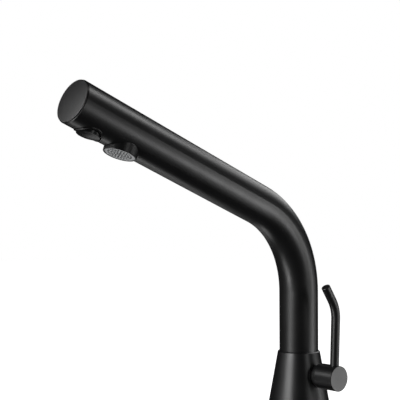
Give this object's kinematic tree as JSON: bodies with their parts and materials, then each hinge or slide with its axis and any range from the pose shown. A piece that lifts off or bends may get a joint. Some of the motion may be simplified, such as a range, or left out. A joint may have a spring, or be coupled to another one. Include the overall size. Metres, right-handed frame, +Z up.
{
  "type": "single lever kitchen mixer with filter capsule",
  "caption": "Slanted swivel spout mixer in matte black: cone base, side lever, main aerator, separate filtered outlet near the tip, pull-out capsule behind the end cap.",
  "frame": {"origin": "centre of the tap hole on the deck surface, under the middle of the base", "axes": "+Z up out of the deck, -Y along the spout, +X along the lever hub"},
  "size_m": [0.0823, 0.2926, 0.3497],
  "materials": {
    "black_coat": "matte black powder coat over brass, fine texture",
    "black_gloss": "smooth satin black moulding",
    "black_plastic": "matte moulded plastic",
    "brass": "machined brass",
    "copper_pipe": "drawn copper pipe",
    "steel": "stainless steel, turned or bright",
    "rubber": "black EPDM",
    "white_plastic": "white moulded acetal",
    "grey_plastic": "grey moulded plastic",
    "ceramic": "lapped alumina ceramic",
    "aerator_grey": "silver-grey moulded perforated insert",
    "carbon": "pressed carbon filter block in fleece"
  },
  "bodies": {
    "base": {"base_sleeve": "black_coat", "valve_body": "brass", "threaded_shank": "brass", "deck_gasket": "rubber", "clamp_washer_rubber": "rubber", "clamp_washer_steel": "steel", "lock_nut": "brass", "slide_ring": "white_plastic", "neck_orings": "rubber", "filter_feed_tube": "steel", "neck_circlip": "steel", "cartridge_housing": "grey_plastic", "cartridge_seals": "rubber", "fixed_ceramic_disc": "ceramic", "cartridge_nut": "brass"},
    "rotor": {"cartridge_rotor": "grey_plastic", "rotor_oring": "rubber", "stem_pivot_pin": "steel"},
    "disc": {"moving_ceramic_disc": "ceramic", "disc_carriage": "grey_plastic"},
    "lever": {"lever_stem": "steel", "lever_rod": "black_coat", "lever_hub": "black_coat", "hub_set_screw": "steel", "screw_plug": "black_plastic"},
    "spout": {"spout_tube": "black_coat", "swivel_bush": "white_plastic", "swivel_limit_screw": "steel", "spout_manifold": "brass", "mixed_water_pipe": "copper_pipe", "filter_water_pipe": "white_plastic", "aerator_collar": "black_coat", "aerator_holder": "grey_plastic", "aerator_insert": "aerator_grey", "aerator_gasket": "rubber", "filter_outlet_ring": "black_coat", "filter_outlet_nozzle": "black_gloss", "capsule_seat": "grey_plastic"},
    "capsule": {"capsule_shell": "white_plastic", "filter_media": "carbon", "capsule_orings": "rubber"},
    "cap": {"end_cap": "black_coat"}
  },
  "joints": [
    {"name": "spout_swivel", "type": "hinge", "parent": "base", "child": "spout", "pos_m": [0, 0, 0.066], "axis": [0, 0, 1], "range_deg": [-63.9, 56.1]},
    {"name": "lever_temperature", "type": "hinge", "parent": "base", "child": "rotor", "pos_m": [0, 0, 0.0479], "axis": [0.9977, -0.068, 0], "range_deg": [-45, 45]},
    {"name": "lever_flow", "type": "hinge", "parent": "rotor", "child": "lever", "pos_m": [0.03053, -0.00208, 0.0479], "axis": [0.068, 0.9977, 0], "range_deg": [0, 14]},
    {"name": "disc_slide", "type": "slide", "parent": "rotor", "child": "disc", "axis": [0, 0, 1], "range_m": [0, 0.00411]},
    {"name": "capsule_pull", "type": "slide", "parent": "spout", "child": "capsule", "axis": [0, -0.9397, 0.342], "range_m": [0, 0.046]},
    {"name": "cap_twist", "type": "hinge", "parent": "capsule", "child": "cap", "pos_m": [0, -0.25514, 0.27538], "axis": [0, -0.9397, 0.342], "range_deg": [0, 36]}
  ],
  "couplings": [
    {"joint": "disc_slide", "follows": "lever_flow", "m_per_rad": 0.0168}
  ]
}
